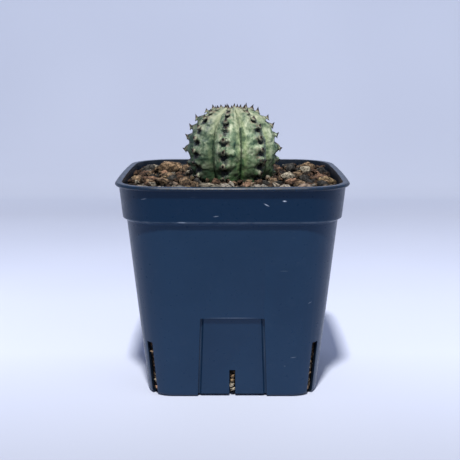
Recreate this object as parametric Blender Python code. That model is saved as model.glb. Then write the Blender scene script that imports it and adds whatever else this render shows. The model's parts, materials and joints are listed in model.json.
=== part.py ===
"""A young globe euphorbia in a square nursery pot, with grit packed round its foot.

Units are metres, +Z is up, and the origin is on the ground under the middle of the pot.
The pot stands on its four corner feet. It is one thin moulding: a tapered body, a wider
collar, a turned-out lip, a sunk panel with a drain notch on each side, and a drain slit at
each corner. A bed of packed grit fills it, the plant's root crown sits in a pocket in that
bed, and loose stones lie on top.
"""

import math
import random

import bmesh
import bpy
from mathutils import Matrix, Vector, noise

MM = 0.001

# ---- pot -------------------------------------------------------------------------------
POT_HEIGHT = 84.0 * MM
RIM_WIDTH = 90.0 * MM          # over the lip, at the middle of two opposite sides
RIM_RADIUS = 18.0 * MM         # plan radius of the lip's corners
RIM_BULGE = 0.5 * MM           # how far the middle of each side bows out at the rim
LIP_OVERHANG = 1.5 * MM        # lip beyond the collar, on each side
LIP_THICKNESS = 1.4 * MM
COLLAR_HEIGHT = 13.4 * MM      # from the rim down to the step
COLLAR_TAPER = 1.2 * MM        # how far each collar side leans in, top to bottom
STEP_DEPTH = 1.4 * MM          # how far the body stands in from the collar
STEP_HEIGHT = 1.2 * MM
BODY_FOOT_WIDTH = 66.4 * MM    # body width at the ground, before the edge is rounded
FOOT_RADIUS = 10.0 * MM        # plan radius of the body's corners at the ground
FOOT_ROUNDING = 1.6 * MM       # rounding of the bottom edge
WALL = 1.1 * MM
CORNER_SEGMENTS = 9

FOOT_HEIGHT = 1.0 * MM         # how high the base is raised between the feet
PANEL_HEIGHT = 32.6 * MM
PANEL_FOOT_WIDTH = 27.0 * MM
PANEL_TOP_WIDTH = 24.4 * MM
PANEL_DEPTH = 0.9 * MM
GROOVE_WIDTH = 0.8 * MM        # groove down each edge of a panel
GROOVE_DEPTH = 0.5 * MM        # below the panel's face

NOTCH_WIDTH = 2.3 * MM         # drain notch in the middle of each panel
NOTCH_HEIGHT = 11.0 * MM
NOTCH_REACH = 4.0 * MM         # how far the notch runs in under the base
SLIT_WIDTH = 3.0 * MM          # drain slit down each corner
SLIT_HEIGHT = 22.0 * MM
SLIT_REACH = 6.0 * MM
DRAIN_HOLE_DIAMETER = 9.0 * MM
BELOW_GROUND = -2.0 * MM       # how far cutters reach past the base

# ---- filling and plant -----------------------------------------------------------------
GAP = 0.3 * MM                 # left between pieces that touch
BED_DEPTH_BELOW_RIM = 5.2 * MM
STEM_DIAMETER = 37.0 * MM      # over the crests of the ribs, without teeth
STEM_HEIGHT = 29.8 * MM        # from the top of the stones to the crown
STONE_COVER = 3.2 * MM         # usual depth of the loose stones on the bed
ROOT_DEPTH = 17.0 * MM         # how far the root crown reaches into the bed
ROOT_DIAMETER = 15.0 * MM
RIB_ANGLES = (-99, -54, -11, 40, 88, 131, 174, 217)   # degrees, front of the pot at 0
FURROW_DEPTH = 5.0 * MM
STEPS_PER_RIB = 8
TEETH_PER_RIB = 6
TOOTH_LENGTH = 2.4 * MM
TOOTH_DIAMETER = 1.7 * MM

STONE_CLEARANCE = 0.35 * MM
FILL_STONES = 44
FILL_STONE_LENGTHS = (3.8 * MM, 8.6 * MM)
FILL_STONE_HEIGHTS = (4.0 * MM, 5.6 * MM)

# name, x, y, length, width, height, turn in degrees, colour: the stones that stand out
NAMED_STONES = (
    ("stone_left_chunk", -27.0, 13.5, 12.4, 8.4, 8.8, 10, "tan"),
    ("stone_gold_block", 37.0, -10.5, 8.8, 6.0, 5.0, 4, "gold"),
    ("stone_pale_slab", -9.5, -25.2, 11.6, 7.4, 4.4, -4, "pale"),
    ("stone_salmon", 23.2, -15.6, 8.0, 5.0, 4.8, -38, "salmon"),
    ("stone_rear_right", 32.6, 29.2, 9.0, 6.2, 5.6, 15, "tan"),
    ("stone_grey_right", 37.2, 12.0, 8.0, 6.6, 5.8, 70, "grey"),
    ("stone_grey_left", -24.0, -7.0, 6.0, 5.0, 4.9, 30, "grey"),
    ("stone_grey_front", 28.7, -7.4, 6.0, 4.8, 4.6, 80, "grey"),
    ("stone_brown_left", -37.0, 3.0, 5.6, 4.8, 4.4, 60, "brown"),
    ("stone_brown_front", -22.4, -23.6, 8.0, 5.4, 4.2, 10, "brown"),
)

COLOURS = {
    "pot": (0.020, 0.034, 0.062),
    "bed": (0.060, 0.045, 0.034),
    "stem": (0.200, 0.290, 0.175),
    "tan": (0.30, 0.20, 0.12),
    "gold": (0.42, 0.29, 0.15),
    "pale": (0.40, 0.33, 0.24),
    "salmon": (0.36, 0.22, 0.14),
    "grey": (0.085, 0.085, 0.080),
    "brown": (0.15, 0.095, 0.065),
}
ROUGHNESS = {"pot": 0.45, "stem": 0.6}

# ---- sizes that follow from the ones above ----------------------------------------------
LIP_WIDTH = RIM_WIDTH - 2 * RIM_BULGE
COLLAR_TOP_WIDTH = LIP_WIDTH - 2 * LIP_OVERHANG
COLLAR_FOOT_WIDTH = COLLAR_TOP_WIDTH - 2 * COLLAR_TAPER
BODY_TOP_WIDTH = COLLAR_FOOT_WIDTH - 2 * STEP_DEPTH
COLLAR_FOOT_Z = POT_HEIGHT - COLLAR_HEIGHT
BODY_TOP_Z = COLLAR_FOOT_Z - STEP_HEIGHT
BED_TOP_Z = POT_HEIGHT - BED_DEPTH_BELOW_RIM
STONE_TOP_Z = BED_TOP_Z + STONE_COVER
CROWN_Z = STONE_TOP_Z + STEM_HEIGHT
RIM_OPENING = COLLAR_TOP_WIDTH - 2 * WALL


# ---- helpers ---------------------------------------------------------------------------
def clear_scene():
    for obj in list(bpy.data.objects):
        bpy.data.objects.remove(obj)


def material(name, colour, roughness=0.85):
    made = bpy.data.materials.new(name)
    made.use_nodes = True
    shader = made.node_tree.nodes["Principled BSDF"]
    shader.inputs["Base Color"].default_value = (*colour, 1.0)
    shader.inputs["Roughness"].default_value = roughness
    shader.inputs["Metallic"].default_value = 0.0
    return made


def add_object(name, bm, finish=None, sharp_degrees=35):
    """Turns a bmesh into an object with faces pointing out and its round stretches smooth."""
    bmesh.ops.recalc_face_normals(bm, faces=bm.faces)
    if bm.calc_volume(signed=True) < 0:
        bmesh.ops.reverse_faces(bm, faces=bm.faces)
    mesh = bpy.data.meshes.new(name)
    bm.to_mesh(mesh)
    bm.free()
    mesh.shade_smooth()
    mesh.set_sharp_from_angle(angle=math.radians(sharp_degrees))
    obj = bpy.data.objects.new(name, mesh)
    bpy.context.scene.collection.objects.link(obj)
    if finish is not None:
        mesh.materials.append(finish)
    return obj


def add_cutter(name, bm):
    obj = add_object(name, bm)
    obj.hide_render = True
    obj.display_type = "WIRE"
    return obj


def cut(target, cutter, operation="DIFFERENCE"):
    modifier = target.modifiers.new(cutter.name, "BOOLEAN")
    modifier.operation = operation
    modifier.object = cutter
    modifier.solver = "EXACT"


def rounded_square(width, radius, z, bulge=0.0, side_points=3):
    """Points round a square with round corners, whose sides may bow out a little."""
    half = width / 2
    centre = half - radius
    points = []
    for quarter in range(4):
        turn = Matrix.Rotation(quarter * math.pi / 2, 3, "Z")
        for step in range(CORNER_SEGMENTS + 1):
            angle = step / CORNER_SEGMENTS * math.pi / 2
            corner = Vector((centre + radius * math.cos(angle), centre + radius * math.sin(angle), z))
            points.append(turn @ corner)
        for step in range(1, side_points + 1):
            along = step / (side_points + 1)
            bow = bulge * 4 * along * (1 - along)
            points.append(turn @ Vector((centre * (1 - 2 * along), half + bow, z)))
    return points


def loft(rings):
    """A closed solid through a stack of rings that have equal numbers of points."""
    bm = bmesh.new()
    loops = [[bm.verts.new(point) for point in ring] for ring in rings]
    bm.faces.new(loops[0])
    bm.faces.new(loops[-1])
    for lower, upper in zip(loops, loops[1:]):
        for k in range(len(lower)):
            bm.faces.new((lower[k - 1], lower[k], upper[k], upper[k - 1]))
    return bm


def box(low, high):
    """A bmesh box between two corners."""
    bm = bmesh.new()
    size = Vector(high) - Vector(low)
    middle = (Vector(high) + Vector(low)) / 2
    bmesh.ops.create_cube(bm, size=1.0, matrix=Matrix.Translation(middle) @ Matrix.Diagonal((*size, 1)))
    return bm


def turned(bm, degrees):
    bmesh.ops.rotate(bm, verts=bm.verts, cent=(0, 0, 0), matrix=Matrix.Rotation(math.radians(degrees), 3, "Z"))
    return bm


# ---- pot -------------------------------------------------------------------------------
def body_width(z):
    return BODY_FOOT_WIDTH + (BODY_TOP_WIDTH - BODY_FOOT_WIDTH) * z / BODY_TOP_Z


def corner_radius(z):
    """The plan radius grows evenly from the foot to the rim."""
    return FOOT_RADIUS + (RIM_RADIUS - LIP_OVERHANG - FOOT_RADIUS) * z / POT_HEIGHT


def side_bulge(z):
    return RIM_BULGE * (z / POT_HEIGHT) ** 2


def shell_ring(width, z, inset=0.0):
    return rounded_square(width - 2 * inset, corner_radius(z) - inset, z, side_bulge(z))


def pot_outside():
    foot = [
        shell_ring(body_width(FOOT_ROUNDING) - 2 * pull, z)
        for pull, z in (
            (FOOT_ROUNDING, 0.0),
            (FOOT_ROUNDING * 0.45, FOOT_ROUNDING * 0.17),
            (FOOT_ROUNDING * 0.12, FOOT_ROUNDING * 0.52),
        )
    ]
    body = [shell_ring(body_width(z), z) for z in (FOOT_ROUNDING, BODY_TOP_Z)]
    collar = [
        shell_ring(COLLAR_FOOT_WIDTH - STEP_HEIGHT, COLLAR_FOOT_Z - 0.4 * STEP_HEIGHT),
        shell_ring(COLLAR_FOOT_WIDTH, COLLAR_FOOT_Z),
        shell_ring(COLLAR_TOP_WIDTH, POT_HEIGHT - LIP_THICKNESS),
    ]
    lip_inset = LIP_THICKNESS * 0.3
    lip = [
        rounded_square(LIP_WIDTH - 2 * inset, RIM_RADIUS - inset, z, RIM_BULGE)
        for inset, z in (
            (lip_inset, POT_HEIGHT - LIP_THICKNESS),
            (0.0, POT_HEIGHT - LIP_THICKNESS * 0.65),
            (0.0, POT_HEIGHT - LIP_THICKNESS * 0.35),
            (lip_inset, POT_HEIGHT),
        )
    ]
    return loft(foot + body + collar + lip)


def cavity_rings(inset, top_z):
    """Rings of the pot's inside at a distance from its outer skin, from the floor to top_z."""
    rings = [shell_ring(body_width(z), z, inset) for z in (inset, BODY_TOP_Z - inset / 2)]
    rings.append(shell_ring(COLLAR_FOOT_WIDTH, COLLAR_FOOT_Z, inset))
    share = (top_z - COLLAR_FOOT_Z) / (POT_HEIGHT - COLLAR_FOOT_Z)
    top_width = COLLAR_FOOT_WIDTH + (COLLAR_TOP_WIDTH - COLLAR_FOOT_WIDTH) * share
    rings.append(shell_ring(top_width, top_z, inset))
    return rings


def panel_block(grow):
    """The sunk panel on the front side, as a solid that is grow bigger than the hollow."""
    outside = WALL * 4
    foot_z = BELOW_GROUND

    def section(z, width):
        half = width / 2 + grow
        face = -body_width(max(z, 0.0)) / 2 + PANEL_DEPTH + grow
        groove = face + GROOVE_DEPTH
        inner = half - GROOVE_WIDTH - 2 * grow
        ramp = GROOVE_DEPTH
        outline = (
            (-half, face - outside),
            (-half, groove),
            (-inner, groove),
            (-inner + ramp, face),
            (inner - ramp, face),
            (inner, groove),
            (half, groove),
            (half, face - outside),
        )
        return [Vector((x, y, z)) for x, y in outline]

    return loft([section(foot_z, PANEL_FOOT_WIDTH), section(PANEL_HEIGHT + grow, PANEL_TOP_WIDTH)])


def base_channel(grow):
    """The raised strip under the base, between the feet, running front to back."""
    half = PANEL_FOOT_WIDTH / 2 + grow
    reach = BODY_FOOT_WIDTH
    return box((-half, -reach, BELOW_GROUND), (half, reach, FOOT_HEIGHT + grow))


def cut_base_and_panels(target, label, grow):
    for side in range(2):
        cut(target, add_cutter(f"{label}_channel_{side}", turned(base_channel(grow), 90 * side)))
    for side in range(4):
        cut(target, add_cutter(f"{label}_panel_{side}", turned(panel_block(grow), 90 * side)))


def notch_cutter():
    """An upright slot through the panel, which runs on a little way under the base."""
    inner_y = -BODY_FOOT_WIDTH / 2 + PANEL_DEPTH + NOTCH_REACH
    return box((-NOTCH_WIDTH / 2, -BODY_FOOT_WIDTH, BELOW_GROUND), (NOTCH_WIDTH / 2, inner_y, NOTCH_HEIGHT))


def slit_cutter():
    """A thin block on the diagonal, which leaves the base open just inside the corner."""
    corner = body_width(0) / 2 - FOOT_RADIUS + FOOT_RADIUS * math.sqrt(0.5)
    outer = corner * math.sqrt(2)
    low = (-SLIT_WIDTH / 2, -outer - SLIT_REACH, BELOW_GROUND)
    high = (SLIT_WIDTH / 2, -outer + SLIT_REACH, SLIT_HEIGHT)
    return turned(box(low, high), 45)


def make_pot(finish):
    pot = add_object("pot", pot_outside(), finish)
    cut_base_and_panels(pot, "outer", 0.0)
    cavity = add_cutter("cavity", loft(cavity_rings(WALL, POT_HEIGHT + 2 * MM)))
    cut_base_and_panels(cavity, "inner", WALL)
    cut(pot, cavity)
    for side in range(4):
        cut(pot, add_cutter(f"notch_{side}", turned(notch_cutter(), 90 * side)))
        cut(pot, add_cutter(f"slit_{side}", turned(slit_cutter(), 90 * side)))
    hole = bmesh.new()
    bmesh.ops.create_cone(
        hole,
        cap_ends=True,
        segments=20,
        radius1=DRAIN_HOLE_DIAMETER / 2,
        radius2=DRAIN_HOLE_DIAMETER / 2,
        depth=12 * MM,
    )
    cut(pot, add_cutter("drain_hole", hole))
    return pot


# ---- grit bed --------------------------------------------------------------------------
def root_rings(grow):
    """The buried root crown: it narrows from the stem's foot to a blunt tip."""
    rings = []
    for share, width in ((0.0, 0.45), (0.12, 0.8), (0.45, 1.0), (0.8, 1.25), (1.0, 1.5)):
        z = BED_TOP_Z - ROOT_DEPTH * (1 - share)
        radius = ROOT_DIAMETER / 2 * width + grow
        if share == 0.0:
            z -= grow
        rings.append([
            Vector((radius * math.cos(a), radius * math.sin(a), z))
            for a in (2 * math.pi * k / 24 for k in range(24))
        ])
    return rings


def make_bed(finish):
    inset = WALL + GAP
    bed = add_object("grit_bed", loft(cavity_rings(inset, BED_TOP_Z)), finish)
    cut_base_and_panels(bed, "bed", inset)
    rings = root_rings(GAP)
    rings.append([point + Vector((0, 0, 2 * MM)) for point in rings[-1]])
    cut(bed, add_cutter("root_pocket", loft(rings)))
    return bed


# ---- plant -----------------------------------------------------------------------------
def stem_profile(share):
    """Radius over the crests, as a share of the full radius, from the foot (0) to the crown (1)."""
    if share < 0.42:
        return 0.86 + 0.14 * math.sin(share / 0.42 * math.pi / 2)
    rise = (share - 0.42) / 0.58
    return math.sqrt(max(0.0, 1 - rise**2.3)) if rise < 1 else 0.0


def stem_height(share):
    foot = STONE_TOP_Z - STONE_COVER + 2 * GAP
    return foot + (CROWN_Z - foot) * share


def stem_directions():
    """(angle, crest share) round the stem: 1 on a crest and 0 in a furrow."""
    found = []
    angles = list(RIB_ANGLES) + [RIB_ANGLES[0] + 360]
    for here, after in zip(angles, angles[1:]):
        for step in range(STEPS_PER_RIB):
            share = step / STEPS_PER_RIB
            crest = abs(2 * share - 1)
            found.append((math.radians(here + (after - here) * share), crest))
    return found


def direction(angle):
    """Angle 0 faces the front of the pot, and it grows towards +X."""
    return Vector((math.sin(angle), -math.cos(angle), 0))


def stem_radius(share, crest):
    full = STEM_DIAMETER / 2 * stem_profile(share)
    furrow = FURROW_DEPTH * min(1.0, full / (STEM_DIAMETER / 4))
    return full - furrow * (1 - crest**0.8)


def make_stem(finish):
    shares = (0.0, 0.1, 0.2, 0.3, 0.4, 0.5, 0.6, 0.7, 0.78, 0.85, 0.91, 0.955, 0.985)
    around = stem_directions()
    rings = [
        [direction(angle) * stem_radius(share, crest) + Vector((0, 0, stem_height(share))) for angle, crest in around]
        for share in shares
    ]
    stem = add_object("euphorbia_stem", loft(rings), finish, sharp_degrees=60)
    root = root_rings(0.0)
    root.append([point + Vector((0, 0, 3 * MM)) for point in root[-1]])
    cut(stem, add_cutter("root_crown", loft(root)), "UNION")
    teeth = bmesh.new()
    for number, angle in enumerate(RIB_ANGLES):
        add_rib_teeth(teeth, math.radians(angle), number)
    cut(stem, add_cutter("teeth", teeth), "UNION")
    return stem


def add_rib_teeth(bm, angle, number):
    """Adds the row of blunt teeth along one crest, as cones that stand clear of each other."""
    for k in range(TEETH_PER_RIB):
        share = 0.2 + 0.68 * (k + 0.25 * (number % 2)) / (TEETH_PER_RIB - 1)
        share = min(share, 0.93)
        slope = max(0.0, (share - 0.42) / 0.58)
        outward = (direction(angle) * (1 - 0.75 * slope**2) + Vector((0, 0, 0.15 + slope))).normalized()
        foot = direction(angle) * stem_radius(share, 1.0) + Vector((0, 0, stem_height(share)))
        turn = outward.to_track_quat("Z", "Y").to_matrix().to_4x4() @ Matrix.Rotation(0.3 + k, 4, "Z")
        middle = foot + outward * (TOOTH_LENGTH * 0.1)
        bmesh.ops.create_cone(
            bm,
            cap_ends=True,
            segments=6,
            radius1=TOOTH_DIAMETER / 2,
            radius2=TOOTH_DIAMETER / 10,
            depth=TOOTH_LENGTH,
            matrix=Matrix.Translation(middle) @ turn,
        )


# ---- loose stones ----------------------------------------------------------------------
def stone_mesh(size, turn, seed):
    """A crushed stone: a ball cut by random flat facets, then fitted to its size."""
    rng = random.Random(seed)
    bm = bmesh.new()
    bmesh.ops.create_icosphere(bm, subdivisions=2, radius=1.0)
    facets = [
        Vector((rng.uniform(-1, 1), rng.uniform(-1, 1), rng.uniform(-0.8, 1))).normalized()
        for _ in range(7)
    ]
    shift = Vector((seed * 3.7, seed * 1.3, 0))
    for vert in bm.verts:
        for facet in facets:
            over = vert.co.dot(facet) - 0.72
            if over > 0:
                vert.co -= facet * over * 0.92
        vert.co *= 1 + 0.12 * noise.noise(vert.co * 1.7 + shift)
    low = Vector(min(v.co[k] for v in bm.verts) for k in range(3))
    high = Vector(max(v.co[k] for v in bm.verts) for k in range(3))
    middle = (low + high) / 2
    for vert in bm.verts:
        vert.co = Vector((vert.co[k] - middle[k]) / (high[k] - low[k]) * size[k] for k in range(3))
    return turned(bm, turn)


def add_stone(name, x, y, size, turn, seed, finish):
    bm = stone_mesh(size, turn, seed)
    lowest = min(v.co.z for v in bm.verts)
    bmesh.ops.translate(bm, verts=bm.verts, vec=(0, 0, -lowest))
    stone = add_object(name, bm, finish, sharp_degrees=25)
    stone.location = (x, y, BED_TOP_Z + GAP)
    return stone


def inside_rim(x, y, reach):
    """Whether a circle of this reach stays inside the rim's opening."""
    half = RIM_OPENING / 2 - COLLAR_TAPER - reach - STONE_CLEARANCE
    centre = half - (RIM_RADIUS - LIP_OVERHANG - WALL - reach)
    dx, dy = abs(x), abs(y)
    if dx > half or dy > half:
        return False
    if dx > centre and dy > centre:
        return math.hypot(dx - centre, dy - centre) < half - centre
    return True


def make_stones(finishes):
    placed = []
    for number, (name, x, y, length, width, height, turn, colour) in enumerate(NAMED_STONES):
        size = (length * MM, width * MM, height * MM)
        add_stone(name, x * MM, y * MM, size, turn, number + 1, finishes[colour])
        placed.append((x * MM, y * MM, size[0] / 2))
    rng = random.Random(11)
    keep_out = STEM_DIAMETER / 2 * 0.98
    smallest, largest = FILL_STONE_LENGTHS
    tries, count = 0, 0
    while count < FILL_STONES and tries < 60000:
        tries += 1
        reach = (largest - (largest - smallest) * min(1.0, tries / 12000)) / 2
        x = rng.uniform(-0.5, 0.5) * RIM_OPENING
        y = rng.uniform(-0.5, 0.5) * RIM_OPENING
        if not inside_rim(x, y, reach) or math.hypot(x, y) < keep_out + reach + STONE_CLEARANCE:
            continue
        if any(math.hypot(x - px, y - py) < reach + r + STONE_CLEARANCE for px, py, r in placed):
            continue
        count += 1
        placed.append((x, y, reach))
        size = (2 * reach, 2 * reach * rng.uniform(0.72, 0.9), rng.uniform(*FILL_STONE_HEIGHTS))
        colour = rng.choice(("brown", "tan", "brown", "grey", "salmon", "tan", "grey", "pale"))
        add_stone(f"stone_{count:02d}", x, y, size, rng.uniform(0, 180), 20 + count, finishes[colour])


def main():
    clear_scene()
    finishes = {
        name: material(name, colour, ROUGHNESS.get(name, 0.85)) for name, colour in COLOURS.items()
    }
    make_pot(finishes["pot"])
    make_bed(finishes["bed"])
    make_stem(finishes["stem"])
    make_stones(finishes)


main()
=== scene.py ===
# %% [markdown]
# # A potted euphorbia, piece by piece
# The object is a young globe euphorbia in a square nursery pot, with crushed-rock grit packed
# round its foot. The CAD model gives every place and size. This script gives it the looks:
# a scuffed plastic pot, well over a thousand grains of grit, and a ribbed plant with toothed crests.
# We start by loading the CAD model.

import json
import math
import random

import bmesh
import bpy
from mathutils import Matrix, Vector, noise


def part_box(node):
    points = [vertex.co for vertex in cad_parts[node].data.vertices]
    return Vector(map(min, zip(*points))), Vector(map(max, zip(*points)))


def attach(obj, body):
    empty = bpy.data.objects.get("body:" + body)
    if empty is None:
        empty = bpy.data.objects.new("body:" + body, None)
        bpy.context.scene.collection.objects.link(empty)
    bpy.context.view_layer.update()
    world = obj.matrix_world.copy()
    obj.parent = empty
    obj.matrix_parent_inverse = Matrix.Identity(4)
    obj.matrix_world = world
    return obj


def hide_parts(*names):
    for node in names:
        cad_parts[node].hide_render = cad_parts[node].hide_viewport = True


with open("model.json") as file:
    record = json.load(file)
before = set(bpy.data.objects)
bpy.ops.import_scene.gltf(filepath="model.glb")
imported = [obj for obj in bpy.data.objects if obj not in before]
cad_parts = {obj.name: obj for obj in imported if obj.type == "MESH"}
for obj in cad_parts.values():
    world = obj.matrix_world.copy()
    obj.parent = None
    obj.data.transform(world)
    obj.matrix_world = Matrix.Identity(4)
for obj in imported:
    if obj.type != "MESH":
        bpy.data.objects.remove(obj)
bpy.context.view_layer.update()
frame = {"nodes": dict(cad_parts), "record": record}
nodes = frame["nodes"]
MM = 0.001
bed_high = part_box("grit_bed")[1]

# %% [markdown]
# ## Materials made of noise
# Every finish here is procedural: noise and cell patterns mixed into a Principled shader. We
# wrap the node calls in a small class, so that a material reads like a recipe. The patterns
# use Object coordinates, or values stored at the piece's own points. Each piece's object stays
# at the origin, so the pattern is fixed to the piece and its scale is in real metres.

# %% A small recipe book for materials
MARK_REACH = 8 * MM  # how far in front of and behind its middle a mark still shows


class Finish:
    """One Principled material, with short calls for the nodes that these finishes use."""

    def __init__(self, name, roughness=0.6, specular=0.5):
        self.material = bpy.data.materials.new(name)
        self.material.use_nodes = True
        self.tree = self.material.node_tree
        self.shader = self.tree.nodes["Principled BSDF"]
        self.shader.inputs["Roughness"].default_value = roughness
        self.shader.inputs["Specular IOR Level"].default_value = specular
        self.place = self.tree.nodes.new("ShaderNodeTexCoord").outputs["Object"]

    def feed(self, socket, value):
        """Links another node's output, or sets a plain number or colour."""
        if isinstance(value, bpy.types.NodeSocket):
            self.tree.links.new(value, socket)
        else:
            socket.default_value = value

    def stretched(self, scale):
        """Object coordinates, multiplied by a scale on each axis."""
        node = self.tree.nodes.new("ShaderNodeMapping")
        self.feed(node.inputs["Vector"], self.place)
        node.inputs["Scale"].default_value = scale
        return node.outputs[0]

    def noise(self, size, detail=4.0, roughness=0.6, distortion=0.0, place=None):
        """Cloudy noise from 0 to 1, with features about one size across, in metres."""
        node = self.tree.nodes.new("ShaderNodeTexNoise")
        self.feed(node.inputs["Vector"], place or self.place)
        node.inputs["Scale"].default_value = 1 / size
        node.inputs["Detail"].default_value = detail
        node.inputs["Roughness"].default_value = roughness
        node.inputs["Distortion"].default_value = distortion
        return node.outputs["Fac"]

    def cells(self, size, output="Distance"):
        """Irregular cells, as the distance from each cell's middle or as its own colour."""
        node = self.tree.nodes.new("ShaderNodeTexVoronoi")
        self.feed(node.inputs["Vector"], self.place)
        node.inputs["Scale"].default_value = 1 / size
        return node.outputs[output]

    def ramp(self, value, *stops):
        """Maps 0 to 1 onto (position, colour or grey) stops."""
        node = self.tree.nodes.new("ShaderNodeValToRGB")
        self.feed(node.inputs["Fac"], value)
        bar = node.color_ramp.elements
        while len(bar) < len(stops):
            bar.new(0.5)
        for element, (position, colour) in zip(bar, stops):
            element.position = position
            grey = isinstance(colour, (int, float))
            element.color = (colour, colour, colour, 1) if grey else (*colour, 1)
        return node.outputs["Color"]

    def math(self, operation, a, b):
        node = self.tree.nodes.new("ShaderNodeMath")
        node.operation = operation
        self.feed(node.inputs[0], a)
        self.feed(node.inputs[1], b)
        return node.outputs[0]

    def times(self, a, b):
        return self.math("MULTIPLY", a, b)

    def mix(self, share, a, b, blend="MIX"):
        node = self.tree.nodes.new("ShaderNodeMix")
        node.data_type = "RGBA"
        node.blend_type = blend
        self.feed(node.inputs["Factor"], share)
        for socket, value in ((node.inputs[6], a), (node.inputs[7], b)):
            self.feed(socket, value if isinstance(value, bpy.types.NodeSocket) else (*value, 1))
        return node.outputs[2]

    def along(self, axis, scale=10.0, shift=0.0):
        """A coordinate, scaled and shifted so that a ramp from 0 to 1 can read it."""
        node = self.tree.nodes.new("ShaderNodeSeparateXYZ")
        self.feed(node.inputs[0], self.place)
        return self.math("ADD", self.times(node.outputs[axis], scale), shift)

    def by_height(self, *stops):
        """A ramp whose stops stand at heights above the ground, in millimetres up to 100."""
        return self.ramp(self.along("Z"), *((height / 100, value) for height, value in stops))

    def mark(self, middle, length, width, tilt):
        """1 on a short mark round a point on the front, fading to 0 at its edge."""
        node = self.tree.nodes.new("ShaderNodeMapping")
        node.vector_type = "TEXTURE"
        self.feed(node.inputs["Vector"], self.place)
        node.inputs["Location"].default_value = middle
        node.inputs["Rotation"].default_value = (0, math.radians(tilt), 0)
        node.inputs["Scale"].default_value = (length / 2, MARK_REACH, width / 2)
        reach = self.tree.nodes.new("ShaderNodeVectorMath")
        reach.operation = "LENGTH"
        self.feed(reach.inputs[0], node.outputs[0])
        return self.ramp(reach.outputs["Value"], (0.45, 1), (1.0, 0))

    def attribute(self, name, output="Fac"):
        """A value that was stored at the mesh's points."""
        node = self.tree.nodes.new("ShaderNodeAttribute")
        node.attribute_name = name
        return node.outputs[output]

    def set(self, colour, roughness=None, height=None, depth=0.2 * MM, strength=0.6):
        """Connects the finished colour, roughness and bump height."""
        self.feed(self.shader.inputs["Base Color"], colour)
        if roughness is not None:
            self.feed(self.shader.inputs["Roughness"], roughness)
        if height is not None:
            bump = self.tree.nodes.new("ShaderNodeBump")
            bump.inputs["Strength"].default_value = strength
            bump.inputs["Distance"].default_value = depth
            self.feed(bump.inputs["Height"], height)
            self.tree.links.new(bump.outputs[0], self.shader.inputs["Normal"])
        return self.material


# %% [markdown]
# ## The pot's plastic
# Nursery pots are moulded from recycled polypropylene in a dark slate blue with a satin skin.
# Handling leaves short scuffs on the front. Painted highlights run along the collar's lower edge
# and the edges of the front panel, and painted shade darkens the collar, the inside, the grooves,
# the openings and the lip. We layer these over a nearly even colour, with a little dust and a
# few thin scratches. The bump is a very fine orange-peel from the mould.

# %% Pot plastic
SCUFFS_AND_HIGHLIGHTS = (
    # x, z, length and width in mm, tilt in degrees, and strength, all on the pot's front face
    (12.4, 77.4, 2.8, 0.55, 28, 0.65),
    (19.0, 78.8, 1.9, 0.70, 4, 1.0),
    (-32.4, 79.4, 3.0, 0.45, -14, 0.30),
    (-6.0, 73.1, 2.6, 0.45, -6, 0.35),
    (-18.6, 70.7, 4.4, 0.70, 2, 0.40),
    (29.4, 38.8, 2.8, 0.45, -24, 0.65),
    (23.5, 16.6, 3.6, 0.40, -6, 0.40),
    (20.2, 13.0, 1.2, 0.40, 0, 0.45),
    (-34.0, 45.0, 2.4, 0.40, -30, 0.40),
    # the last three are painted highlights along the edges of the front panel
    (0.0, 32.9, 27.0, 0.50, 0, 0.22),
    (-12.5, 16.5, 36.0, 0.50, -87.7, 0.22),
    (12.5, 16.5, 36.0, 0.50, -92.3, 0.22),
)
FRONT_AT_TOP = -46 * MM  # y of the front face at the pot's top, a little in front of the plastic
FRONT_SLOPE = 0.09  # how far the front face steps back for each metre down


def plastic_and_painted_light(finish):
    """The body's slate blue, painted shade on the collar, and a painted highlight along its lower edge.
    """
    clouds = finish.noise(22 * MM, detail=3)
    body = finish.ramp(clouds, (0.3, (0.0085, 0.0325, 0.0780)), (0.7, (0.0110, 0.0380, 0.0880)))
    # painted shade: the collar, above 70.8 mm, is darker than the body
    collar_shaded = finish.mix(finish.by_height((70.0, 0.0), (70.8, 1.0)), body, (0.0008, 0.0205, 0.0590))
    # painted highlight: a pale line along the collar's lower edge, broken up by noise
    edge = finish.by_height((69.95, 0.0), (70.35, 1.0), (70.70, 1.0), (71.10, 0.0))
    patchy = finish.ramp(finish.noise(4 * MM, detail=4), (0.38, 0.25), (0.60, 0.80))
    return finish.mix(finish.times(edge, patchy), collar_shaded, (0.085, 0.120, 0.175))


def add_scuffs_and_highlights(finish, under):
    """Adds the scuffs and the painted panel-edge highlights of the list to the colour under them."""
    # the first nine rows are pale scuffs, the last three painted highlights on the panel's edges
    for x, z, length, width, tilt, strength in SCUFFS_AND_HIGHLIGHTS:
        front = FRONT_AT_TOP + FRONT_SLOPE * (84 - z) * MM
        mark = finish.mark((x * MM, front, z * MM), length * MM, width * MM, tilt)
        flaked = finish.ramp(finish.noise(0.6 * MM), (0.36, 0.45), (0.52, 1.0))
        share = finish.times(finish.times(mark, flaked), strength)
        under = finish.mix(share, under, (0.60, 0.68, 0.82))
    return under


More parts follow.
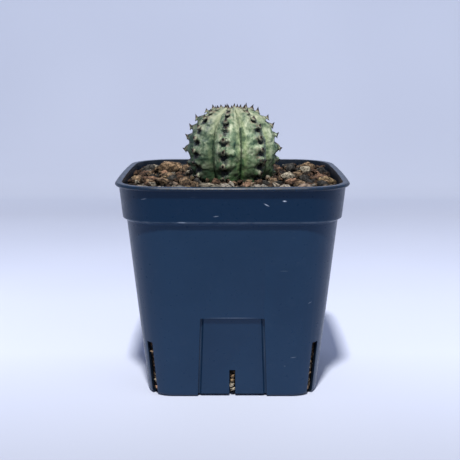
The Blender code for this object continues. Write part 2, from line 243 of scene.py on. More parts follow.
def pot_plastic():
    finish = Finish("pot_plastic", roughness=0.34, specular=0.22)
    dust = finish.ramp(finish.noise(3.5 * MM, detail=8, roughness=0.75), (0.54, 0), (0.78, 1))
    dusty = finish.mix(finish.times(dust, 0.07), plastic_and_painted_light(finish), (0.10, 0.12, 0.16))
    streaks = finish.noise(1.6 * MM, detail=2, place=finish.stretched((0.14, 0.14, 1.8)))
    patches = finish.ramp(finish.noise(9 * MM, detail=1), (0.55, 0), (0.62, 1))
    scratch = finish.times(finish.ramp(streaks, (0.70, 0), (0.73, 1)), patches)
    scratched = finish.mix(finish.times(scratch, 0.22), dusty, (0.20, 0.25, 0.33))
    scuffed_and_highlit = add_scuffs_and_highlights(finish, scratched)
    # painted shade inside the pot and on the walls of its grooves, notches and slits
    inner_shade = finish.times(finish.attribute("inner_shade"), 0.85)
    inner_shaded = finish.mix(inner_shade, scuffed_and_highlit, (0.0030, 0.0050, 0.0090))
    # painted shade on the lip, above 82.2 mm, broken into spots
    spots = finish.ramp(finish.noise(1.1 * MM, detail=6), (0.36, 0.15), (0.62, 1.0))
    lip_shade = finish.times(finish.by_height((82.2, 0.0), (83.4, 0.85)), spots)
    lip_shaded = finish.mix(lip_shade, inner_shaded, (0.016, 0.020, 0.028))
    gloss = finish.ramp(finish.noise(1.6 * MM, detail=5), (0.3, 0.26), (0.75, 0.40))
    peel = finish.noise(0.55 * MM, detail=3)
    height = finish.math("ADD", finish.times(peel, 0.5), finish.times(scratch, -0.6))
    return finish.set(lip_shaded, gloss, height, depth=0.06 * MM, strength=0.30)


# %% [markdown]
# ## The pot
# The CAD solid already has the right shape: body, collar, lip, sunk panels, notches and slits.
# A real moulding has no knife edges, though. We merge a copy of its triangles, join the flat
# ones back into clean faces, and bevel the sharp edges a little, so that each one catches the
# light. We also mark the points that face inwards or line a groove, where shade is painted.

# %% A merged copy of a CAD node, and how a piece is finished


def merged_copy(node):
    """The node's own loose triangles stay as they are, and a copy of them is joined up."""
    bm = bmesh.new()
    bm.from_mesh(nodes[node].data)
    bmesh.ops.remove_doubles(bm, verts=bm.verts, dist=0.002 * MM)
    return bm


def finish_piece(name, bm, material, stands_for=(), sharp_degrees=None):
    """Makes the bmesh an object that rides on the pot's body and stands for its CAD nodes."""
    mesh = bpy.data.meshes.new(name)
    bm.to_mesh(mesh)
    bm.free()
    mesh.shade_smooth()
    if sharp_degrees:
        mesh.set_sharp_from_angle(angle=math.radians(sharp_degrees))
    piece = bpy.data.objects.new(name, mesh)
    bpy.context.scene.collection.objects.link(piece)
    mesh.materials.append(material)
    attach(piece, "root")
    if stands_for:
        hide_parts(*stands_for)
    print(name, len(mesh.polygons), "faces")


# %% Soften the pot's edges and mark its inside
EDGE_SOFTNESS = 0.32 * MM
PANEL_TOP = 34 * MM


def sharp_edges(bm, degrees):
    least = math.radians(degrees)
    return [e for e in bm.edges if len(e.link_faces) == 2 and e.calc_face_angle(0) > least]


def mark_inner_shade(bm):
    """1 at points that face the middle, or sideways as the walls of grooves and slits do: these get
    painted shade.
    """
    bm.normal_update()
    inner_shade = bm.verts.layers.float.new("inner_shade")
    for vert in bm.verts:
        outward = Vector((vert.co.x, vert.co.y, 0)).normalized()
        facing = vert.normal.dot(outward)
        sideways = abs(facing) < 0.6 and abs(vert.normal.z) < 0.5
        vert[inner_shade] = 1.0 if facing < -0.5 or (sideways and vert.co.z < PANEL_TOP) else 0.0


def make_pot():
    bm = merged_copy("pot")
    bmesh.ops.dissolve_limit(bm, angle_limit=math.radians(0.5), verts=bm.verts, edges=bm.edges)
    bmesh.ops.bevel(
        bm,
        geom=sharp_edges(bm, 40),
        offset=EDGE_SOFTNESS,
        segments=3,
        profile=0.5,
        affect="EDGES",
        clamp_overlap=True,
        material=-1,
    )
    mark_inner_shade(bm)
    finish_piece("nursery_pot", bm, pot_plastic(), ["pot"], sharp_degrees=30)


make_pot()

# %% [markdown]
# ## Crushed rock
# The grit is a mix of pumice, lava and fired clay, crushed and sieved. Each kind gets the same
# recipe in its own colours: blotches a few millimetres wide, fine grains, and pores where gas
# bubbles were cut open, with painted shade in the pores and hollows. The recipe also reads the
# height and darkens whatever lies low in the bed, as painted shade between the stones. Along
# the front rim, where watering splashes, pale lime has dried on the grit.

# %% Rock finishes, one per colour
ROCK_COLOURS = {
    "tan": ((0.075, 0.044, 0.025), (0.62, 0.420, 0.255)),
    "gold": ((0.18, 0.105, 0.048), (0.86, 0.620, 0.350)),
    "pale": ((0.21, 0.165, 0.115), (0.82, 0.730, 0.570)),
    "salmon": ((0.120, 0.058, 0.032), (0.68, 0.400, 0.255)),
    "grey": ((0.014, 0.014, 0.014), (0.145, 0.137, 0.125)),
    "brown": ((0.026, 0.014, 0.008), (0.250, 0.142, 0.085)),
}


def rock(name, dark, light):
    finish = Finish("rock_" + name, roughness=0.9, specular=0.3)
    blotches = finish.noise(2.2 * MM, detail=7, roughness=0.75)
    base = finish.ramp(blotches, (0.32, dark), (0.62, light))
    grains = finish.noise(0.35 * MM, detail=3)
    fine = finish.ramp(grains, (0.35, 0.20), (0.65, 1.0))
    speckled = finish.mix(0.70, base, fine, blend="MULTIPLY")
    pores = finish.ramp(finish.cells(0.8 * MM), (0.14, 0.0), (0.36, 1.0))
    hollows = finish.noise(1.3 * MM, detail=4, roughness=0.65)
    hollows = finish.ramp(hollows, (0.41, 0.10), (0.53, 1.0))
    # painted shade in the hollows, which the bump also sinks
    hollow_shaded = finish.mix(0.90, speckled, hollows, blend="MULTIPLY")
    # painted shade in the pores, which the bump also sinks
    pore_shaded = finish.mix(0.60, hollow_shaded, pores, blend="MULTIPLY")
    near_front = finish.times(finish.along("Y", -10.0), finish.by_height((79, 0.0), (81, 1.0)))
    splashed = finish.ramp(near_front, (0.26, 0.0), (0.34, 0.60))
    lime = finish.times(splashed, finish.ramp(hollows, (0.1, 0.2), (0.8, 1)))
    limed = finish.mix(lime, pore_shaded, (0.42, 0.40, 0.35))
    # painted shade: grains low in the bed are darker; those far down in the drain openings are not
    low_shade = finish.by_height((60, 1.0), (70, 0.22), (79.8, 0.06), (81.8, 0.30), (83.9, 1.0))
    shaded = finish.mix(1.0, limed, low_shade, blend="MULTIPLY")
    height = finish.math("ADD", finish.times(hollows, 0.6), finish.times(pores, 0.5))
    roughness = finish.ramp(grains, (0.2, 0.8), (0.8, 0.98))
    return finish.set(shaded, roughness, height, depth=0.35 * MM, strength=0.9)


rocks = {name: rock(name, *pair) for name, pair in ROCK_COLOURS.items()}

# %% [markdown]
# ## Large stones
# Each large stone in the CAD model is a simple faceted lump. We keep its place and outline:
# a merged copy is cut finer with subdivide_edges, and whatever stands beyond a few random planes
# is pressed flat, as if chipped off. Then every point moves along its normal by noise of
# several sizes. Without the flat chips and the ridged noise it would look like a river pebble.

# %% Chip and roughen a stone
rng = random.Random(5)
noise.seed_set(5)  # without a seed, vector noise starts from the clock


def chip(verts, middle, half, cuts, depth):
    """Flattens whatever stands beyond each of several random planes, as crushing does."""
    for _ in range(cuts):
        facing = Vector((rng.gauss(0, 1), rng.gauss(0, 1), rng.gauss(0.2, 1))).normalized()
        for vert in verts:
            local = Vector((vert.co[k] - middle[k]) / half[k] for k in range(3))
            over = local.dot(facing) - (1 - depth)
            if over > 0:
                vert.co -= Vector(facing[k] * half[k] * over for k in range(3))


def ridged(point, size):
    """Noise from -1 to 1, with its highest values along thin creases."""
    return 1 - abs(noise.noise(point / size)) * 2


def roughen(bm, amount, seed):
    """Moves each point along its normal by noise of three sizes."""
    bm.normal_update()
    shift = Vector((seed * 0.013, seed * 0.007, 0))
    moves = []
    for vert in bm.verts:
        at = vert.co + shift
        push = noise.noise(at / (2.2 * MM)) * 0.8 + ridged(at, 1.2 * MM) * 0.45 - 0.3
        push += noise.noise(at / (0.5 * MM)) * 0.3
        moves.append(vert.normal * push * amount)
    for vert, move in zip(bm.verts, moves):
        vert.co += move


# %% Build the large stones
slot_of = {part["node"]: part["material_slot"] for part in frame["record"]["subparts"]}


def make_stone(node, seed):
    colour = slot_of[node].removeprefix("stone_")
    bm = merged_copy(node)
    bmesh.ops.subdivide_edges(bm, edges=bm.edges, cuts=3, use_grid_fill=True)
    low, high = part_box(node)
    chip(bm.verts, (low + high) / 2, (high - low) / 2, cuts=16, depth=0.30)
    roughen(bm, 0.40 * MM, seed)
    finish_piece("rock_" + node, bm, rocks[colour], [node], sharp_degrees=28)


stone_nodes = [node for node in nodes if node.startswith("stone_")]
for seed, node in enumerate(sorted(stone_nodes)):
    make_stone(node, seed)

# %% [markdown]
# ## The imported grit
# Between the large stones lie well over a thousand small grains. The bed below them is one
# solid in the same browns. A cell pattern gives its surface grains of its own, with deep gaps
# in the bump and painted shade in the gaps, so that no smooth patch shows. The bed also fills
# the pot down to the drain slits, where a little of it is seen.

# %% Bed of packed grit


def packed_grit():
    finish = Finish("packed_grit", roughness=0.95, specular=0.2)
    grain = finish.cells(1.7 * MM)
    tint = finish.cells(1.7 * MM, output="Color")
    tone = finish.tree.nodes.new("ShaderNodeSeparateColor")
    finish.feed(tone.inputs[0], tint)
    colour = finish.ramp(
        tone.outputs[0],
        (0.0, (0.020, 0.014, 0.010)),
        (0.45, (0.070, 0.042, 0.027)),
        (0.75, (0.150, 0.095, 0.058)),
        (1.0, (0.300, 0.220, 0.140)),
    )
    # painted shade in the gaps between the cells, which the bump also sinks
    gaps = finish.ramp(grain, (0.25, 1.0), (0.62, 0.08))
    gap_shaded = finish.mix(1.0, colour, gaps, blend="MULTIPLY")
    return finish.set(gap_shaded, height=gaps, depth=0.8 * MM, strength=1.0)


bed = merged_copy("grit_bed")
finish_piece("grit_fill", bed, packed_grit(), ["grit_bed"], sharp_degrees=40)

# %% [markdown]
# ## Small grains
# A grain is a tiny icosphere pushed out of shape, with only a few dozen faces, because there
# are so many. We drop them layer by layer: a dense layer on the bed, then sparser and larger
# ones above. Grains of one colour are joined in one piece. A grain is skipped if its middle
# would be inside the plant, a large stone or the pot's wall.

# %% Where a grain may lie
STEM_FOOT_RADIUS = 14.5 * MM
WALL_INSIDE = bed_high.x
WALL_CORNER = 14.5 * MM
stone_boxes = [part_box(node) for node in stone_nodes]


def inside_wall(x, y, reach):
    """Whether a grain of this reach clears the pot's wall, which is square with round corners."""
    half = WALL_INSIDE - reach
    centre = half - (WALL_CORNER - reach)
    dx, dy = abs(x), abs(y)
    if dx > half or dy > half:
        return False
    return dx < centre or dy < centre or math.hypot(dx - centre, dy - centre) < half - centre


def in_large_stone(x, y, z):
    """Whether a point lies in the middle three quarters of a large stone."""
    for low, high in stone_boxes:
        middle, half = (low + high) / 2, (high - low) / 2
        away = Vector(((x - middle.x) / half.x, (y - middle.y) / half.y, (z - middle.z) / half.z))
        if away.length < 0.75 and z < high.z:
            return True
    return False


# %% Make one grain


def add_grain(bm, middle, size, seed):
    """Adds one crushed grain: a small ball, chipped flat by a few planes, squashed and turned."""
    made = bmesh.ops.create_icosphere(bm, subdivisions=1, radius=0.5)["verts"]
    chip(made, (0, 0, 0), (0.5, 0.5, 0.5), cuts=7, depth=0.42)
    for vert in made:
        vert.co *= 1 + 0.30 * noise.noise(vert.co * 2.3 + Vector((seed * 1.7, 0, 0)))
    shares = rng.uniform(0.9, 1.45), rng.uniform(0.75, 1.1), rng.uniform(0.6, 1.0)
    stretch = Matrix.Diagonal((*(size * share for share in shares), 1))
    turn = Matrix.Rotation(rng.uniform(0, math.tau), 4, "Z")
    turn = turn @ Matrix.Rotation(rng.uniform(-0.9, 0.9), 4, "X")
    bmesh.ops.transform(bm, matrix=Matrix.Translation(middle) @ turn @ stretch, verts=made)


# %% Drop the grains in layers
GRAIN_LAYERS = (
    # count, lowest z above the bed, highest z, smallest size, largest size
    (1500, 0.2 * MM, 1.6 * MM, 1.8 * MM, 3.4 * MM),
    (620, 1.6 * MM, 3.0 * MM, 2.0 * MM, 4.4 * MM),
    (190, 3.0 * MM, 4.2 * MM, 1.8 * MM, 4.2 * MM),
)
GRAIN_MIX = ("brown",) * 8 + ("tan",) * 6 + ("grey",) * 4 + ("salmon",) * 2 + ("pale",) + ("gold",)
grains = {colour: bmesh.new() for colour in ROCK_COLOURS}
laid = 0
for count, low_z, high_z, smallest, largest in GRAIN_LAYERS:
    for number in range(count):
        x, y = rng.uniform(-WALL_INSIDE, WALL_INSIDE), rng.uniform(-WALL_INSIDE, WALL_INSIDE)
        z, size = bed_high.z + rng.uniform(low_z, high_z), rng.uniform(smallest, largest)
        colour = rng.choice(GRAIN_MIX)
        if not inside_wall(x, y, size * 0.45) or math.hypot(x, y) < STEM_FOOT_RADIUS:
            continue
        if in_large_stone(x, y, z):
            continue
        add_grain(grains[colour], Vector((x, y, z)), size, number)
        laid += 1
print("grains laid:", laid)

# %% [markdown]
# ## Grains in the drain openings
# The slits at the corners and the notch in each panel are narrow, and grains have wedged in
# them. We set a short stack of grains behind each opening, just inside the wall's outer face.

# %% Grains behind the slits and notches
SLIT_TOP = 20 * MM
NOTCH_TOP = 9.5 * MM
LOWEST_GRAIN = 2.6 * MM
FOOT_HALF = 33.2 * MM  # half the pot's width at its foot
FLARE = 6.5 / 69  # how far each face leans out for each metre up
CORNER_CUT = 4.4 * MM  # how far a round corner stops short of the sharp one, at the foot
CORNER_CUT_GROWTH = 0.06  # and how much further it stops short for each metre up
BEHIND_CORNER = 1.5 * MM  # how far behind the corner's face a grain's middle lies
BEHIND_PANEL = 2.3 * MM  # the same for the sunk panels


def stack_grains(place, top, step, size, mix):
    """Sets grains one above another, each where place(z) says."""
    z = LOWEST_GRAIN
    while z < top:
        x, y = place(z)
        add_grain(grains[rng.choice(mix)], Vector((x, y, z)), size * rng.uniform(0.8, 1.2), z)
        z += step * rng.uniform(0.7, 1.2)


def corner_place(quarter):
    def place(z):
        diagonal = (FOOT_HALF + FLARE * z) * math.sqrt(2)
        reach = diagonal - CORNER_CUT - BEHIND_CORNER - CORNER_CUT_GROWTH * z
        angle = math.radians(45 + 90 * quarter)
        return reach * math.cos(angle), reach * math.sin(angle)

    return place


def panel_place(quarter):
    def place(z):
        out = FOOT_HALF + FLARE * z - BEHIND_PANEL
        side = rng.uniform(-0.5, 0.5) * MM
        turn = Matrix.Rotation(math.radians(90 * quarter), 2)
        return turn @ Vector((side, -out))

    return place


WEDGED = ("pale", "gold", "salmon", "pale", "tan", "salmon")
for quarter in range(4):
    stack_grains(corner_place(quarter), SLIT_TOP, 3.0 * MM, 3.3 * MM, WEDGED)
    stack_grains(panel_place(quarter), NOTCH_TOP, 1.9 * MM, 2.8 * MM, WEDGED)

# %% Finish the grain pieces
for colour, bm in grains.items():
    finish_piece("grit_" + colour, bm, rocks[colour], sharp_degrees=24)

# %% [markdown]
# ## The plant's shape
# A young euphorbia of this kind is a squat globe with eight plump ribs. Between the ribs run
# sharp furrows, and along each crest sits a row of chin-like swellings, each ending in a dark
# tooth. We wrap a fine grid round the stem: one direction is the angle, the other is the
# share of height from the foot to the crown. A function then says how far out each point is.

# %% Stem: crest line and ribs
RIB_DEGREES = (-99, -54, -11, 40, 88, 131, 174, 217)
RIBS = len(RIB_DEGREES)
CROWN_Z = 110.4 * MM
STEM_FOOT_Z = 77.6 * MM
WAIST_Z = 93.0 * MM
WAIST_SHARE = 0.347
FULL_RADIUS = 18.7 * MM
FURROW = 5.4 * MM
SWELLING = 1.9  # mm, how far a swelling stands out from its crest
CREST_BACK = 1.1  # mm, how far the crest lies back between swellings
HOLLOW_DEPTH = 1.5  # mm


def crest_line(share):
    """(radius, z) of the crests: a narrow foot, a full waist and a flat, slightly sunk crown."""
    if share < WAIST_SHARE:
        rise = share / WAIST_SHARE
        radius = FULL_RADIUS * (0.79 + 0.21 * math.sin(rise * math.pi / 2))
        return radius, STEM_FOOT_Z + (WAIST_Z - STEM_FOOT_Z) * rise
    turn = (share - WAIST_SHARE) / (1 - WAIST_SHARE) * math.pi / 2
    sink = 1.2 * MM * max(0.0, (share - 0.88) / 0.12) ** 2
    height = (CROWN_Z - WAIST_Z) * math.sin(turn) ** 0.95
    return FULL_RADIUS * math.cos(turn) ** 0.82, WAIST_Z + height - sink


def rib_at(degrees):
    """(rib number, crest share): the share is 1 on a crest and 0 in a furrow."""
    degrees = (degrees - RIB_DEGREES[0]) % 360 + RIB_DEGREES[0]
    for number, here in enumerate(RIB_DEGREES):
        after = (*RIB_DEGREES, RIB_DEGREES[0] + 360)[number + 1]
        if here <= degrees < after:
            along = (degrees - here) / (after - here)
            return (number, 1 - 2 * along) if along < 0.5 else ((number + 1) % RIBS, 2 * along - 1)
    return 0, 1.0


# %% Stem: the row of swellings on each crest
TOOTH_SHARES = (0.02, 0.13, 0.245, 0.365, 0.48, 0.59, 0.695, 0.79, 0.875)


def tooth_shares(number):
    """Neighbouring ribs carry their teeth at different heights, and no spacing is quite even."""
    steady = random.Random(number + 3)
    shift = (number * 5 % 8 - 3.5) * 0.011
    return [share + shift * (1 - share) + steady.uniform(-0.012, 0.012) for share in TOOTH_SHARES]


def hollow_depths(number):
    """How deep the hollow under each tooth of a rib is, from hardly there to very deep."""
    return [random.Random(number * 31 + k).uniform(0.35, 1.30) for k in range(len(TOOTH_SHARES))]


RIB_TEETH = [tooth_shares(number) for number in range(RIBS)]
HOLLOW_DEPTHS = [hollow_depths(number) for number in range(RIBS)]


def swelling(number, crest, share):
    """(how much the crest swells here, how deep the hollow under the tooth is and how dark its painted
    shadow).
    """
    lump = hollow = 0.0
    droop = 0.055 * (1 - crest)
    for tooth, depth in zip(RIB_TEETH[number], HOLLOW_DEPTHS[number]):
        away = share + droop - tooth
        reach = 0.055 if away > 0 else 0.024
        lump = max(lump, math.exp(-((away / reach) ** 2)))
        tall = 0.026 + 0.012 * (1 - share)
        hollow = max(hollow, depth * math.exp(-(((away + 0.045) / tall) ** 2)))
    return lump, hollow * math.exp(-(((1 - crest) / 0.19) ** 2))


# %% Stem: where each point of the surface lies


def facing_at(degrees):
    """The level direction at an angle: 0 is the front, and angles grow to the right."""
    return Vector((math.sin(math.radians(degrees)), -math.cos(math.radians(degrees)), 0))


def stem_point(degrees, share):
    """(the place, crest share, swelling, hollow) of the skin at an angle and a share of height."""
    number, crest = rib_at(degrees)
    radius, z = crest_line(share)
    fullness = min(1.0, radius / (FULL_RADIUS * 0.55))
    smooth = facing_at(degrees) * radius + Vector((0, 0, z))
    stray = noise.noise_vector(smooth / (2.6 * MM))
    lump, hollow = swelling(number, min(1.0, crest + 0.10 * stray.x), share + 0.018 * stray.y)
    flank = 1 - crest
    lobe = 1 - math.sqrt(max(0.0, 1 - flank * flank))
    out = radius - FURROW * fullness * (0.45 * lobe + 0.55 * flank)
    ridge = crest ** 5
    out += (lump * SWELLING - CREST_BACK) * MM * ridge * fullness - hollow * HOLLOW_DEPTH * MM * fullness
    out += (lump - 0.5) * 0.45 * MM * crest * flank * fullness
    facing = facing_at(degrees)
    lift = (lump - 0.4) * 0.9 * MM * ridge * max(0.0, share - WAIST_SHARE)
    at = facing * out + Vector((0, 0, z + lift))
    at += facing * (stray.z * 0.55 + noise.noise(at / (1.1 * MM)) * 0.22) * MM * fullness
    return at, crest, lump, hollow


# %% Wrap a grid round the stem
AROUND = 400
UP = 230


def wrap_stem():
    """Bends a flat grid round the stem: x becomes the angle and y the share of height."""
    bm = bmesh.new()
    bmesh.ops.create_grid(bm, x_segments=AROUND, y_segments=UP, size=0.5)
    kept = {name: bm.verts.layers.float.new(name) for name in ("crest", "swell", "hollow", "share")}
    wrap = bm.verts.layers.float_vector.new("wrap")
    for vert in bm.verts:
        degrees = (vert.co.x + 0.5) * 360 + RIB_DEGREES[0]
        share = min(1.0, vert.co.y + 0.5)
        at, crest, lump, hollow = stem_point(degrees, share)
        for name, value in zip(kept, (crest, lump, hollow, share)):
            vert[kept[name]] = value
        vert[wrap] = facing_at(degrees) * 16 * MM + Vector((0, 0, share * 12 * MM))
        vert.co = at
    bmesh.ops.remove_doubles(bm, verts=bm.verts, dist=0.02 * MM)
    bmesh.ops.holes_fill(bm, edges=[e for e in bm.edges if e.is_boundary], sides=0)
    bmesh.ops.recalc_face_normals(bm, faces=bm.faces)
    return bm


# %% [markdown]
# ## The plant's skin
# The skin is waxy and grey-green. Painted light lies on the flanks beside the furrows, with pale
# veins that fan out from the crown, and a painted dark line runs down each furrow; low down it is
# a deeper green, painted shade darkens its left side and its foot by the soil, and its crown is
# brownish grey with painted shade. Along each crest lies painted shade between the swellings,
# with rusty patches, and nearly black painted shadow under the teeth. The grid stored how near
# each point is to a crest, a swelling or a hollow, and the material uses these to choose between
# colours, with noise to break every border. It also stored a squashed copy of each point's place,
# which stretches one noise into upright streaks.

# %% Plant skin: the green of the ribs


def green_flanks(finish, crest, share, streaks, patches, mottle):
    """Mottled grey-green, with painted light beside the furrows, deep green at the foot, painted shade on
    the left and a brownish-grey crown darkened with painted shade.
    """
    base = finish.ramp(
        mottle,
        (0.36, (0.026, 0.062, 0.044)),
        (0.44, (0.090, 0.155, 0.090)),
        (0.51, (0.250, 0.340, 0.200)),
        (0.61, (0.640, 0.710, 0.500)),
    )
    # painted light: a pale yellow-green band on the flanks beside each furrow
    furrow_light = finish.ramp(crest, (0.05, 0.0), (0.16, 0.60), (0.40, 0.0))
    furrow_light = finish.times(furrow_light, finish.ramp(streaks, (0.42, 0.2), (0.55, 1.0)))
    furrow_lit = finish.mix(furrow_light, base, (0.42, 0.52, 0.24))
    foot = finish.times(finish.ramp(share, (0.12, 1.0), (0.42, 0.0)), 0.80)
    greener = finish.mix(foot, furrow_lit, (0.034, 0.095, 0.020))
    # painted shade on the left side of the plant, and a little on its far right
    across = finish.along("X", shift=0.5)
    left_shade = finish.ramp(across, (0.33, 1.0), (0.42, 0.62), (0.49, 0.0), (0.69, 0.40))
    left_shade = finish.times(left_shade, finish.ramp(patches, (0.38, 1.0), (0.62, 0.6)))
    left_shaded = finish.mix(left_shade, greener, (0.022, 0.048, 0.034))
    # brownish grey on the top, which is also painted shade there
    crown_tone_and_shade = finish.times(finish.ramp(share, (0.45, 0.0), (0.90, 1.0)), 0.75)
    crown_tone_and_shade = finish.times(crown_tone_and_shade, finish.ramp(patches, (0.42, 0.2), (0.55, 1)))
    return finish.mix(crown_tone_and_shade, left_shaded, (0.21, 0.20, 0.14))


# %% Plant skin: the dark marks along each crest


def marked_crests(finish, green, crest, swell, share, patches):
    """Painted shade between the swellings, rusty patches, and painted shade where the skin meets the
    soil.
    """
    on_crest = finish.ramp(crest, (0.58, 0.0), (0.90, 1.0))
    # painted shade, in dark teal, on the crest between the swellings
    crest_shade = finish.times(on_crest, finish.ramp(swell, (0.20, 0.85), (0.75, 0.0)))
    crest_shade = finish.times(crest_shade, finish.ramp(patches, (0.40, 0.5), (0.54, 1.0)))
    shaded = finish.mix(crest_shade, green, (0.026, 0.052, 0.050))
    rust = finish.ramp(finish.noise(2.1 * MM, detail=4), (0.52, 0), (0.58, 0.80))
    rusted = finish.mix(finish.times(on_crest, rust), shaded, (0.230, 0.160, 0.110))
    # painted shade: near-black patches low on the stem, by the soil
    low = finish.ramp(share, (0.06, 1.0), (0.32, 0.0))
    foot_shade = finish.times(low, finish.ramp(patches, (0.47, 0), (0.51, 1)))
    return finish.mix(finish.times(foot_shade, 0.95), rusted, (0.012, 0.011, 0.009))


def shade_under_teeth(finish, under, crest, hollow):
    """Nearly black painted shadow in the hollows under the teeth, joined here and there by blots of
    painted shade along the crest.
    """
    edge = finish.times(finish.noise(1.0 * MM, detail=5), 0.6)
    # painted shadow in the hollow under each tooth
    tooth_shadow = finish.ramp(finish.math("ADD", hollow, edge), (0.56, 0.0), (0.70, 1.0))
    blots = finish.noise(2.4 * MM, detail=5, roughness=0.65)
    blots = finish.ramp(blots, (0.505, 0.0), (0.55, 0.9))
    # painted shade in blots along the crest
    blot_shade = finish.times(finish.ramp(crest, (0.72, 0.0), (0.88, 1.0)), blots)
    return finish.mix(finish.math("MAXIMUM", tooth_shadow, blot_shade), under, (0.007, 0.010, 0.011))


# %% Plant skin: veins, furrows and the whole recipe


def veined(finish, under, crest, share, streaks):
    """Pale veins that fan out from the crown, and a line of painted shade down each furrow."""
    fan = finish.times(
        finish.ramp(crest, (0.20, 1.0), (0.50, 0.0)), finish.ramp(share, (0.45, 0.0), (0.75, 1.0))
    )
    fan = finish.times(fan, finish.ramp(streaks, (0.45, 0.1), (0.55, 0.8)))
    paler = finish.mix(fan, under, (0.44, 0.47, 0.33))
    # painted shade: a dark line down each furrow, fading towards the crown
    furrow_shade = finish.ramp(crest, (0.0, 0.95), (0.025, 0.75), (0.07, 0.0))
    furrow_shade = finish.times(furrow_shade, finish.ramp(share, (0.45, 1.0), (0.72, 0.3)))
    return finish.mix(furrow_shade, paler, (0.006, 0.016, 0.007))


def plant_skin():
    finish = Finish("plant_skin", roughness=0.5, specular=0.4)
    crest, swell, hollow, share = (finish.attribute(n) for n in ("crest", "swell", "hollow", "share"))
    wrapped = finish.attribute("wrap", "Vector")
    streaks = finish.noise(2.0 * MM, detail=5, roughness=0.6, place=wrapped)
    patches = finish.noise(3.0 * MM, detail=5, roughness=0.6, distortion=0.6)
    mottle = finish.math("ADD", finish.times(streaks, 0.35), finish.times(patches, 0.65))
    green = green_flanks(finish, crest, share, streaks, patches, mottle)
    marked = marked_crests(finish, green, crest, swell, share, patches)
    colour = veined(finish, shade_under_teeth(finish, marked, crest, hollow), crest, share, streaks)
    roughness = finish.ramp(mottle, (0.4, 0.42), (0.6, 0.62))
    return finish.set(colour, roughness, finish.noise(0.45 * MM, detail=4), depth=0.18 * MM, strength=0.6)


# %% Build the stem
finish_piece("euphorbia_skin", wrap_stem(), plant_skin(), ["euphorbia_stem"])

# %% [markdown]
# ## Teeth
# Each swelling ends in a short stiff tooth, broad at its foot and nearly black at its tip, and
# a few more stand round the crown. A tooth starts as a cone with a few rings, is bent upwards,
# and is set on the crest at the height of its swelling. One attribute, from 0 at the foot to 1
# at the tip, colours all of them.

# %% Tooth material


def tooth_horn():
    finish = Finish("tooth_horn", roughness=0.5, specular=0.4)
    tip = finish.attribute("tip")
    uneven = finish.math("ADD", tip, finish.times(finish.noise(0.7 * MM, detail=3), 0.35))
    colour = finish.ramp(
        uneven,
        (0.40, (0.23, 0.25, 0.17)),
        (0.54, (0.17, 0.13, 0.09)),
        (0.66, (0.040, 0.028, 0.024)),
        (0.90, (0.010, 0.009, 0.010)),
    )
    return finish.set(colour, height=finish.noise(0.3 * MM), depth=0.1 * MM, strength=0.4)


# %% Build the teeth
TOOTH_SINK = 0.30  # share of a tooth's length that lies under the skin
CROWN_TEETH = 5


def add_tooth(bm, tip_layer, degrees, share, length, width):
    """One tooth on the crest at this angle and share, pointing out of the stem and a little up."""
    at = stem_point(degrees, share)[0]
    facing = facing_at(degrees)
    radius, z = crest_line(share)
    radius_above, z_above = crest_line(share + 0.03)
    up_slope = Vector((radius_above - radius, z_above - z)).normalized()
    outward = facing * up_slope.y + Vector((0, 0, -up_slope.x))
    lean = Vector((rng.uniform(-0.18, 0.18), rng.uniform(-0.18, 0.18), rng.uniform(0.15, 0.5)))
    aim = (outward + lean).normalized()
    side = facing.cross(Vector((0, 0, 1))).normalized()
    rise = aim.cross(side).normalized()
    rise *= 1 if rise.z > 0 or up_slope.y < 0.3 else -1
    already = len(bm.verts)
    bmesh.ops.create_cone(bm, cap_ends=True, segments=8, radius1=0.5, radius2=0.02, depth=1.0)
    sides = {e for v in bm.verts[already:] for e in v.link_edges if e.calc_length() > 0.9}
    bmesh.ops.subdivide_edges(bm, edges=list(sides), cuts=3)
    for vert in bm.verts[already:]:
        along = vert.co.z + 0.5
        flare = 1.0 + 1.2 * max(0.0, 0.40 - along)
        curl = 0.18 * along * along * length
        local = side * vert.co.x * width * 0.8 * flare + rise * (vert.co.y * width * flare + curl)
        vert[tip_layer] = along
        vert.co = at + local + aim * ((along - TOOTH_SINK) * length)


def make_teeth():
    bm = bmesh.new()
    tip_layer = bm.verts.layers.float.new("tip")
    for number, degrees in enumerate(RIB_DEGREES):
        for share in RIB_TEETH[number]:
            young = max(0.0, share - 0.6)
            length = (2.0 + 0.9 * young) * MM * rng.uniform(0.65, 1.3)
            width = (1.9 + 0.4 * young) * MM
            add_tooth(bm, tip_layer, degrees + rng.uniform(-2, 2), share, length, width)
    for k in range(CROWN_TEETH):
        share = rng.uniform(0.93, 0.955)
        degrees = 360 / CROWN_TEETH * k + rng.uniform(-15, 15)
        add_tooth(bm, tip_layer, degrees, share, rng.uniform(1.9, 2.6) * MM, 1.9 * MM)
    bmesh.ops.recalc_face_normals(bm, faces=bm.faces)
    return bm


finish_piece("euphorbia_teeth", make_teeth(), tooth_horn())

# %% [markdown]
# ## Floor, light and camera
# A sheet of pale board lies under the pot and curves up behind it, so that no corner shows. A
# pool of light is painted on it round the pot, with painted shade towards the front and the back.
# One soft lamp stands high in front, a weaker one on the right, and the world adds a cool fill.
# The camera looks slightly down from the front.

# %% Floor
BEND_STARTS = 0.45


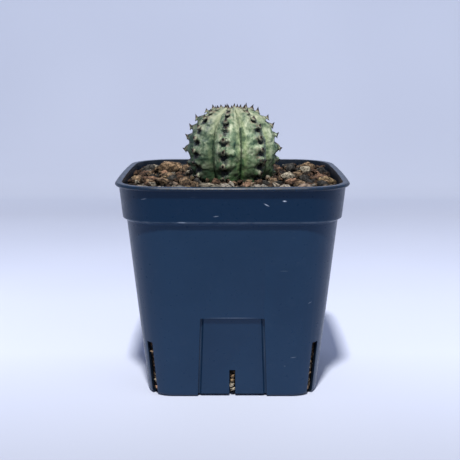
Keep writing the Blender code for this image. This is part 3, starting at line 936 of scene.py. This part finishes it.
def board_with_painted_light():
    finish = Finish("floor_board", roughness=0.9, specular=0.2)
    clouds = finish.noise(0.35, detail=2)
    cloudy = finish.ramp(clouds, (0.3, (0.60, 0.645, 0.80)), (0.7, (0.67, 0.715, 0.87)))
    # painted light: brightest just round the pot, with painted shade towards the front and the back
    painted_light_pool = finish.ramp(
        finish.along("Y", scale=1.0, shift=0.15),
        (0.0, 0.50),
        (0.17, 1.03),
        (0.26, 1.0),
        (0.52, 0.74),
        (1.0, (0.60, 0.645, 0.71)),
    )
    return finish.set(finish.mix(1.0, cloudy, painted_light_pool, blend="MULTIPLY"))


def make_floor():
    bm = bmesh.new()
    bmesh.ops.create_grid(bm, x_segments=1, y_segments=60, size=1.0)
    for vert in bm.verts:
        back = vert.co.y * 1.2 + 0.2
        bend = max(0.0, back - BEND_STARTS)
        vert.co = Vector((vert.co.x * 2.5, min(back, BEND_STARTS + bend * 0.35), bend ** 1.6 * 1.4))
    mesh = bpy.data.meshes.new("floor")
    bm.to_mesh(mesh)
    bm.free()
    mesh.shade_smooth()
    floor = bpy.data.objects.new("floor", mesh)
    bpy.context.scene.collection.objects.link(floor)
    mesh.materials.append(board_with_painted_light())


make_floor()

# %% Lights
LIT_POINT = Vector((0, 0, 0.06))


def soft_lamp(name, place, size, watts, colour):
    lamp = bpy.data.lights.new(name, "AREA")
    lamp.size = size
    lamp.energy = watts
    lamp.color = colour
    holder = bpy.data.objects.new(name, lamp)
    bpy.context.scene.collection.objects.link(holder)
    holder.location = place
    holder.rotation_euler = (LIT_POINT - holder.location).to_track_quat("-Z", "Y").to_euler()


soft_lamp("key_lamp", (-0.05, -0.80, 1.50), 0.12, 35, (1.0, 0.98, 0.94))
soft_lamp("fill_lamp", (0.9, -0.5, 0.9), 0.9, 2.0, (0.90, 0.94, 1.0))
world = bpy.data.worlds.new("sky")
bpy.context.scene.world = world
world.use_nodes = True
sky = world.node_tree.nodes["Background"]
sky.inputs["Color"].default_value = (0.66, 0.75, 1.0, 1)
sky.inputs["Strength"].default_value = 0.28
bpy.context.scene.view_settings.view_transform = "Standard"

# %% Camera
LOOKS_DOWN = 11.14  # degrees
camera_data = bpy.data.cameras.new("camera")
camera_data.sensor_width = 36
camera_data.lens = 71.4
camera_data.clip_start = 0.01
camera = bpy.data.objects.new("camera", camera_data)
bpy.context.scene.collection.objects.link(camera)
camera.location = (-0.0009, -0.370, 0.1326)
camera.rotation_euler = (math.radians(90 - LOOKS_DOWN), 0, 0)
bpy.context.scene.camera = camera
